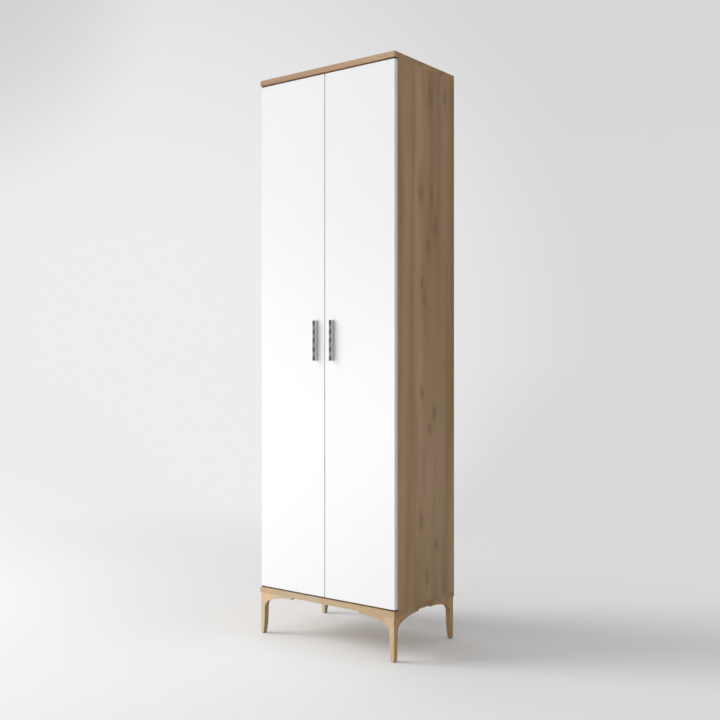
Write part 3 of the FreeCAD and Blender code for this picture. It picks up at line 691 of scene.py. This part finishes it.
class CabinetStage(bpy.types.Operator):
    """Lays the pale floor, sets the backdrop, and hangs the key light and the two soft lights"""
    bl_idname = "cabinet.stage"
    bl_label = "Floor, backdrop and lights"

    def execute(self, context):
        settings = context.scene.cabinet_stage
        self.lay_floor(settings)
        self.set_backdrop(context, settings)
        self.hang_lights(settings)
        return {"FINISHED"}

    def lay_floor(self, settings):
        """Lays a floor that fades into the backdrop, far off and before the large soft light's plane."""
        only()
        bpy.ops.mesh.primitive_circle_add(vertices=128, radius=settings.floor_radius, fill_type="NGON")
        floor = named("floor")
        material = bpy.data.materials.new("Pale floor")
        w = empty_tree(material)
        place = w.objects()
        near = w.node("BsdfPrincipled")
        near.inputs["Roughness"].default_value = 0.9
        near.inputs["Specular IOR Level"].default_value = 0.2
        mottle = w.times(w.noise(place, 1.5), 0.02)
        w.fill(near, Base_Color=w.mix(mottle, settings.floor_tone, (0.7, 0.7, 0.7)))
        tone = w.group(backdrop_tone, Direction=place, Tone=settings.backdrop_tone, Glow=settings.glow)
        far = w.node("Emission", tone["Color"])
        faded = w.spread(w.vector("LENGTH", place), settings.fade_start, settings.fade_end)
        fill_side = Vector((*settings.fill_place[:2], 0)).normalized()
        forward = w.vector("DOT_PRODUCT", place, fill_side)
        faded = w.larger(faded, w.spread(forward, settings.front_start, settings.front_end))
        faded = w.times(faded, w.seen())
        w.node("OutputMaterial", w.node("MixShader", faded, near.outputs[0], far.outputs[0]).outputs[0])
        floor.data.materials.append(material)

    def set_backdrop(self, context, settings):
        """Sets the backdrop's tone for the camera, and soft light mostly from above for all else."""
        world = bpy.data.worlds.new("Backdrop")
        context.scene.world = world
        w = empty_tree(world)
        direction = w.node("TexCoord").outputs["Generated"]
        tone = w.group(backdrop_tone, Direction=direction, Tone=settings.backdrop_tone, Glow=settings.glow)
        above = w.larger(w.vector("DOT_PRODUCT", direction, settings.room_lean), 0.0)
        strength = w.times_plus(above, settings.room, settings.room_rest)
        light = w.mix(w.seen(), w.whole(strength, strength, strength), tone["Color"])
        w.node("OutputWorld", w.node("Background", light).outputs[0])

    def hang_lights(self, settings):
        low, high = FRAME_BOX
        middle = (low + high) / 2
        flat = math.cos(settings.key_height)
        travel = Vector((math.cos(settings.key_turn) * flat, math.sin(settings.key_turn) * flat,
                         -math.sin(settings.key_height)))
        self.hang_light("SUN", "Key light", middle - travel * 4, travel, energy=settings.key,
                        angle=settings.key_softness)
        self.hang_light("AREA", "Soft light", settings.fill_place, middle - Vector(settings.fill_place),
                        energy=settings.fill, size=settings.fill_size)
        self.hang_light("AREA", "Floor light", settings.pool_place, Vector(settings.pool_aim),
                        energy=settings.pool, size=settings.pool_size)

    def hang_light(self, kind, name, place, aim, **values):
        """Hangs a light that looks along a direction, and hides its own shape."""
        only()
        bpy.ops.object.light_add(type=kind, location=place)
        light = named(name)
        light.rotation_euler = aim.to_track_quat("-Z", "Y").to_euler()
        light.visible_camera = False
        assign(light.data, values)


# Pieces

class CabinetBoards(bpy.types.Operator):
    """Finishes the boards, the side panels and the shelves in oak"""
    bl_idname = "cabinet.boards"
    bl_label = "Oak boards"

    def execute(self, context):
        settings = context.scene.cabinet_boards
        tones = board_tones(settings)
        dress(oak_material("Oak right side", tones, heart=settings.heart), "side_panel_right")
        left = oak_material("Oak left side", tones, shift=(0.2, 0.02, 0.21), heart=settings.heart)
        dress(left, "side_panel_left")
        dress(oak_material("Oak top board", tones, along="x", shift=(0.3, 0, 0)), "top_board")
        light = dict(tones, Pale=settings.light_pale, Dark=settings.light_dark)
        stains = (settings.left_stain, (-0.235, -0.21, settings.pale_stain),
                  (-0.035, -0.005, settings.right_stain))
        lower = oak_material("Oak bottom board", light, along="x", shift=(0.7, 0, 0), ends=tones,
                             stains=stains, foil=settings.foil)
        dress(lower, "bottom_board")
        for order, name in enumerate(SHELVES):
            label = "Oak " + name.replace("_", " ")
            dress(oak_material(label, tones, along="x", shift=(order * 0.37, 0, 0)), name)
        return {"FINISHED"}


class CabinetBack(bpy.types.Operator):
    """Finishes the back sheets, white inside and raw hardboard behind, and their joining strip"""
    bl_idname = "cabinet.back"
    bl_label = "Back"

    def execute(self, context):
        settings = context.scene.cabinet_fittings
        low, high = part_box("back_sheet_lower")
        material, w, shader = new_material("Back sheet")
        place = w.objects()
        behind = w.spread(w.parts(place)[1], (low.y + high.y) / 2, high.y - 0.0002)
        clumps = w.noise(place, 260.0, 4.0, 0.65)
        fibrous = w.times_plus(w.grain(place, 0.5, 900.0, 3.0, 0.6), 0.6, w.times(clumps, 0.4))
        board = settings.hardboard
        raw = w.mix(w.spread(fibrous, 0.30, 0.70), scaled(board, 0.62), scaled(board, 1.3))
        lining = w.mix(w.times(clumps, 0.08), settings.lining, scaled(board, 1.6))
        w.fill(shader, Base_Color=w.mix(behind, lining, raw), Roughness=w.times_plus(behind, 0.28, 0.42),
               Normal=w.bump(w.times(fibrous, behind), 0.0002))
        dress(material, "back_sheet_lower", "back_sheet_upper")
        dress(plastic_material("White strip", settings.plastic), "back_joining_strip")
        return {"FINISHED"}


class CabinetDoors(bpy.types.Operator):
    """Finishes the doors in satin white lacquer"""
    bl_idname = "cabinet.doors"
    bl_label = "Doors"

    def execute(self, context):
        settings = context.scene.cabinet_doors
        material, w, shader = new_material("White lacquer")
        place = w.objects()
        face = w.mix(w.noise(place, 3.0), scaled(settings.lacquer, 0.994), scaled(settings.lacquer, 1.006))
        beside = w.spread(w.absolute(w.normals()[0]), 0.5, 0.9)
        outer = w.spread(w.absolute(w.parts(place)[0]), 0.1, 0.2)
        peel = w.noise(place, 420.0, 2.0, 0.4)
        w.fill(shader, Base_Color=w.mix(w.times(beside, outer), face, settings.edge),
               Roughness=w.times_plus(w.noise(place, 35.0, 3.0), 0.10, 0.30),
               Normal=w.bump(peel, settings.ripple))
        dress(material, *both("door_panel"))
        return {"FINISHED"}


class CabinetLegs(bpy.types.Operator):
    """Softens the edges of the four legs, finishes them in light oak, and finishes the glides"""
    bl_idname = "cabinet.legs"
    bl_label = "Legs"

    def execute(self, context):
        settings = context.scene.cabinet_legs
        material = self.leg_oak(settings, board_tones(context.scene.cabinet_boards))
        holes = [(low + high) / 2 for low, high in solid_boxes("leg_screws")]
        for name in LEGS:
            leg = copy_of(NODES[name], name.replace("leg_", "leg_soft_"))
            self.soften(leg, settings.edge_round, holes)
            finish_piece(leg, material, "carcass", "leg_wood", name)
        dress(plastic_material("Dark glide", settings.glide), "leg_glides")
        return {"FINISHED"}

    def leg_oak(self, settings, tones):
        """Light oak whose fibres run down the post and along each arm, with painted shade on the sideways
        faces and on the rear right leg.
        """
        material, w, shader = new_material("Leg oak")
        shader.inputs["Specular IOR Level"].default_value = 0.3
        place = w.objects()
        x, y, z = w.parts(place)
        along_x, along_y = w.absolute(x), w.absolute(y)
        low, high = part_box("leg_front_right")
        edge_x, edge_y = high.x, -low.y
        post_end, arm_start = 0.034, 0.046
        out_x = w.spread(along_x, edge_x - post_end, edge_x - arm_start)
        out_y = w.spread(along_y, edge_y - post_end, edge_y - arm_start)
        tones = dict(tones, Pale=settings.pale, Dark=settings.dark, Figure=0.7)
        post = w.group(oak_grain, Vector=place, **tones)
        side_arm = w.group(oak_grain, Vector=w.whole(x, z, y), **tones)
        front_arm = w.group(oak_grain, Vector=w.whole(z, y, x), **tones)
        shade, height = (w.mix(out_x, w.mix(out_y, post[result], side_arm[result]), front_arm[result])
                         for result in ("Color", "Height"))

        meeting = (edge_x - 0.018, edge_y - 0.009, 0.128)
        reach = w.stretch(w.vector("SUBTRACT", w.whole(along_x, along_y, z), meeting), 1, 1, 2)
        away = w.spread(w.vector("LENGTH", reach), 0.015, 0.06)
        left_shade = w.mix(0.4, shade, w.mix(away, settings.honey, settings.silver))
        right = w.math("GREATER_THAN", x, 0.0)
        shade = w.mix(right, left_shade, w.tinted(shade, settings.right))

        # Painted shade: faces that look sideways get the side or inner tint, and the rear right leg is
        # darkened further
        outward = w.times(w.normals()[0], w.math("SIGN", x))
        outer = w.spread(outward, 0.4, 0.8)
        inner = w.spread(outward, -0.4, -0.8)
        stained_and_shaded = w.tinted(shade, w.mix(inner, settings.beside, settings.inner))
        rear_right_shaded = w.mix(outer, w.tinted(stained_and_shaded, settings.rear), stained_and_shaded)
        shade = w.mix(w.larger(outer, inner), shade, stained_and_shaded)
        shade = w.mix(w.times(right, w.math("GREATER_THAN", y, 0.0)), shade, rear_right_shaded)
        w.fill(shader, Base_Color=shade, Roughness=post["Roughness"], Normal=w.bump(height, 0.0001))
        return material

    def soften(self, leg, radius, holes):
        """Rounds the leg's outer edges and leaves its foot, its top and its screw holes as they are."""
        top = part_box("leg_front_right")[1].z
        foot, hole_width = 0.004, 0.0055
        open_mesh(leg)
        bpy.ops.mesh.remove_doubles(threshold=MERGE)
        bpy.ops.mesh.dissolve_limited(angle_limit=math.radians(0.5))

        def outer(edge):
            middle = (edge.verts[0].co + edge.verts[1].co) / 2
            if not edge.is_manifold or edge.calc_face_angle() < math.radians(40):
                return False
            if middle.z <= foot or max(vert.co.z for vert in edge.verts) > top - 1e-4:
                return False
            return all(math.hypot(middle.x - hole.x, middle.y - hole.y) > hole_width for hole in holes)

        if not choose(leg, "edges", outer):
            raise RuntimeError("no outer edges were found on " + leg.name)
        bpy.ops.mesh.bevel(offset=radius, segments=3, clamp_overlap=True)
        only(leg)
        bpy.ops.object.shade_smooth_by_angle(angle=math.radians(35))
        modify(leg, "WEIGHTED_NORMAL", keep_sharp=True)


class CabinetHandles(bpy.types.Operator):
    """Makes the two bar handles, with their faceted fronts, and finishes them in dark metal"""
    bl_idname = "cabinet.handles"
    bl_label = "Handles"

    def execute(self, context):
        settings = context.scene.cabinet_handles
        material = self.handle_metal(settings)
        for side in SIDES:
            bar = self.bar(side, settings)
            finish_piece(bar, material, "door_" + side, "handle_metal", "handle_" + side)
        return {"FINISHED"}

    def bar(self, side, settings):
        low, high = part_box("handle_" + side)
        middle = (low + high) / 2
        half_stem = settings.stem_width / 2
        stem_low = Vector((middle.x - half_stem, high.y - settings.stem_depth, low.z))
        stem_high = Vector((middle.x + half_stem, high.y, high.z))
        bar = block("handle_bar_" + side, stem_low, stem_high)
        open_mesh(bar)
        choose(bar, "faces", lambda face: face.normal.y < -FACING)
        extrude(0, 0, 0)
        widening = (high.x - low.x) / settings.stem_width
        bpy.ops.transform.resize(value=(widening, 1, 1), center_override=(middle.x, stem_low.y, middle.z))
        extrude(0, low.y - stem_low.y, 0)
        bpy.ops.mesh.inset(thickness=settings.facet_border)
        border = Vector((settings.facet_border, 0, settings.facet_border))
        low, high = low + border, high - border
        step = (high.z - low.z) / settings.facets
        for row in range(1, settings.facets):
            bpy.ops.mesh.select_all(action="SELECT")
            bpy.ops.mesh.bisect(plane_co=(0, 0, low.z + step * row), plane_no=(0, 0, 1))
        self.fold_front(bar, low, high, step, settings)
        bpy.ops.mesh.select_all(action="SELECT")
        bpy.ops.mesh.normals_make_consistent()
        modify(bar, "BEVEL", limit_method="ANGLE", angle_limit=math.radians(30), width=settings.edge_round,
               segments=3)
        return bar

    def fold_front(self, bar, low, high, step, settings):
        """Sinks every other row of the front's corners, one side deeper, and folds the facets."""
        middle_x = (low.x + high.x) / 2
        depth = settings.facet_depth

        def at_corner(vert, row, right):
            level = abs(vert.co.z - (low.z + step * row)) < step / 50
            inside = low.x - 1e-5 < vert.co.x < high.x + 1e-5 and vert.co.y < low.y + depth * 1.5
            return level and inside and (vert.co.x > middle_x) == right

        for row in range(0, settings.facets + 1, 2):
            for right, sunk in ((False, depth), (True, depth * settings.facet_slant)):
                choose(bar, "verts", lambda vert: at_corner(vert, row, right))
                bpy.ops.transform.translate(value=(0, sunk, 0))
        for row in range(settings.facets):
            odd = row % 2 == 1
            choose(bar, "verts", lambda vert: at_corner(vert, row, odd) or at_corner(vert, row + 1, not odd))
            bpy.ops.mesh.vert_connect()

    def handle_metal(self, settings):
        """Dark, lightly hammered metal on the front, with painted shade on the facets that look down, and
        brushed metal on the flanks.
        """
        low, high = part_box("handle_right")
        material, w, shader = new_material("Handle metal")
        shader.inputs["Metallic"].default_value = 1.0
        place = w.objects()
        x, y, z = w.parts(place)
        depth = w.math("SUBTRACT", y, low.y)
        aside = w.absolute(w.math("SUBTRACT", w.absolute(x), (low.x + high.x) / 2))
        rim = w.spread(w.times(aside, 2 / (high.x - low.x)), 0.965, 0.995)
        flank = w.larger(w.times(rim, w.spread(depth, 0.0008, 0.0016)), w.spread(depth, 0.0022, 0.0028))
        border = settings.facet_border
        step = (high.z - low.z - border * 2) / settings.facets
        # Painted shade: every other row of facets, the ones that look down, gets the darker shade colour
        turns = w.times(w.math("SUBTRACT", z, low.z + border), math.pi / step)
        bright = w.times_plus(w.math("SINE", turns), -0.5, 0.5)
        shade = w.mix(flank, w.mix(bright, settings.patina, settings.face), settings.flank)
        results = w.group(worked_metal, Vector=place, Metal=shade, Roughness=0.34)
        dimples = w.fill(w.node("TexVoronoi", feature="SMOOTH_F1"), Vector=place, Scale=420.0)
        hammered = w.bump(w.times(dimples.outputs[0], w.math("SUBTRACT", 1.0, flank)), 0.0006)
        finish_surface(w, shader, results, 0.00003, hammered)
        return material


class CabinetHardware(bpy.types.Operator):
    """Finishes the hinges' leaves, pins and washers, the cam fittings, dowels, shelf pins and catches"""
    bl_idname = "cabinet.hardware"
    bl_label = "Hardware"

    def execute(self, context):
        settings = context.scene.cabinet_fittings
        steel = metal_material("Plated steel", settings.steel, 0.30, Brushing=0.4)
        dress(steel, "cam_bolts", *both("strike_plates"))
        dark = metal_material("Dark steel", settings.dark_steel, 0.45, Brushing=0.4)
        dress(dark, "board_hinge_leaves", "hinge_pins", *both("door_hinge_leaves"))
        dress(metal_material("Cast metal", settings.cast, 0.50, Brushing=0.2, Stain=1.6), "cam_discs")
        dress(plastic_material("White plastic", settings.plastic), "shelf_pins", "catch_housings")
        dress(plastic_material("Dark washer", settings.magnet), "hinge_washers")
        dress(plastic_material("Magnet", settings.magnet), "catch_magnets")
        tones = {"Pale": settings.beech, "Dark": scaled(settings.beech, 0.8)}
        dress(oak_material("Beech dowel", tones, along="x", figure=0.3), "wood_dowels")
        return {"FINISHED"}


class CabinetScrews(bpy.types.Operator):
    """Makes the screws, each with a cross recess in its head"""
    bl_idname = "cabinet.screws"
    bl_label = "Screws"

    # Screws, the shank's radius, whether the head is sunk, and the way that upper and lower ones point
    SETS = (
        ("board_hinge_screws", 0.0015, True, UP, -UP),
        ("door_hinge_screws", 0.0015, True, -UP, UP),
        ("strike_screws", 0.0015, True, -BACK, -BACK),
        ("catch_screws", 0.0015, False, UP, UP),
        ("leg_screws", 0.0020, False, UP, UP),
        ("handle_screws", 0.0020, False, -BACK, -BACK),
    )

    def execute(self, context):
        settings = context.scene.cabinet_fittings
        material = metal_material("Screw steel", settings.steel, 0.28, Brushing=0.2)
        for name, shank, sunk, upper, lower in self.SETS:
            if name in NODES:
                nodes = {name: "carcass"}
            else:
                nodes = {name + "_" + side: "door_" + side for side in SIDES}
            for node, body in nodes.items():
                piece = self.screw_set(node, shank, sunk, upper, lower, settings)
                finish_piece(piece, material, body, "steel_fittings", node)
        return {"FINISHED"}

    def screw_set(self, node, shank, sunk, upper, lower, settings):
        """A screw in the place of each solid of a node, all as one piece."""
        boxes = solid_boxes(node)
        size = boxes[0][1] - boxes[0][0]
        whole = abs(size.dot(upper))
        pattern = self.screw(node + "_pattern", size.x / 2, shank, whole, sunk, settings)
        half_up = FRAME_BOX[1].z / 2
        copies = []
        for low, high in boxes:
            middle = (low + high) / 2
            way = upper if middle.z > half_up else lower
            screw = copy_of(pattern, node + "_copy")
            screw.rotation_euler = way.to_track_quat("-Z", "Y").to_euler()
            screw.location = middle - way * (whole / 2)
            settle(screw)
            copies.append(screw)
        only(pattern)
        bpy.ops.object.delete()
        only(*copies)
        bpy.ops.object.join()
        piece = named(node.replace("screws", "screw_set"))
        bpy.ops.object.shade_smooth_by_angle(angle=math.radians(40))
        return piece

    def screw(self, name, head, shank, whole, sunk, settings):
        """A screw that points down, its head's top at the origin."""
        profile = [(shank * 0.3, -whole), (shank, -whole + shank * 1.6)]
        if sunk:
            cone = head - shank
            profile += [(shank, -cone), (head, -cone * 0.06), (head * 0.97, 0.0)]
        else:
            rise = head * 0.55
            profile += [(shank, -rise), (head, -rise), (head, -rise * 0.55), (head * 0.86, -rise * 0.2),
                        (head * 0.6, 0.0)]
        screw = turned_piece(name, profile, 24)
        reach = head * 0.62
        half = settings.recess_width / 2
        depth = min(settings.recess_depth, head * 0.5)
        for across, along in ((half, reach), (reach, half)):
            arm = block(name + "_arm", Vector((-across, -along, -depth)), Vector((across, along, depth)))
            open_mesh(arm)
            choose(arm, "faces", lambda face: face.normal.z < -FACING)
            bpy.ops.transform.resize(value=(0.6, 0.6, 1), center_override=(0, 0, -depth))
            modify(screw, "BOOLEAN", operation="DIFFERENCE", object=arm)
            only(arm)
            bpy.ops.object.delete()
        return screw


class CabinetPanel(bpy.types.Panel):
    """Lists the cabinet's settings and pieces"""
    bl_idname = "CABINET_PT_pieces"
    bl_label = "Utility cabinet"
    bl_space_type = "VIEW_3D"
    bl_region_type = "UI"
    bl_category = "Cabinet"

    def draw(self, context):
        for operator, settings in STEPS:
            box = self.layout.box()
            box.operator(operator.bl_idname)
            group = getattr(context.scene, settings)
            for name in SETTINGS[settings].__annotations__:
                box.prop(group, name)


STEPS = (
    (CabinetCamera, "cabinet_camera"),
    (CabinetStage, "cabinet_stage"),
    (CabinetBoards, "cabinet_boards"),
    (CabinetBack, "cabinet_fittings"),
    (CabinetDoors, "cabinet_doors"),
    (CabinetLegs, "cabinet_legs"),
    (CabinetHandles, "cabinet_handles"),
    (CabinetHardware, "cabinet_fittings"),
    (CabinetScrews, "cabinet_fittings"),
)

SETTINGS = {
    "cabinet_camera": CabinetCameraSettings,
    "cabinet_stage": CabinetStageSettings,
    "cabinet_boards": CabinetBoardSettings,
    "cabinet_doors": CabinetDoorSettings,
    "cabinet_legs": CabinetLegSettings,
    "cabinet_handles": CabinetHandleSettings,
    "cabinet_fittings": CabinetFittingSettings,
}


def register():
    for name, group in SETTINGS.items():
        bpy.utils.register_class(group)
        setattr(bpy.types.Scene, name, PointerProperty(type=group))
    for operator, _ in STEPS:
        bpy.utils.register_class(operator)
    bpy.utils.register_class(CabinetPanel)


def unregister():
    bpy.utils.unregister_class(CabinetPanel)
    for operator, _ in reversed(STEPS):
        bpy.utils.unregister_class(operator)
    for name, group in reversed(SETTINGS.items()):
        delattr(bpy.types.Scene, name)
        bpy.utils.unregister_class(group)


def main():
    register()
    bpy.context.scene.view_settings.view_transform = "Standard"
    bpy.ops.cabinet.camera()
    bpy.ops.cabinet.stage()
    bpy.ops.cabinet.boards()
    bpy.ops.cabinet.back()
    bpy.ops.cabinet.doors()
    bpy.ops.cabinet.legs()
    bpy.ops.cabinet.handles()
    bpy.ops.cabinet.hardware()
    bpy.ops.cabinet.screws()


if __name__ == "__main__":
    main()
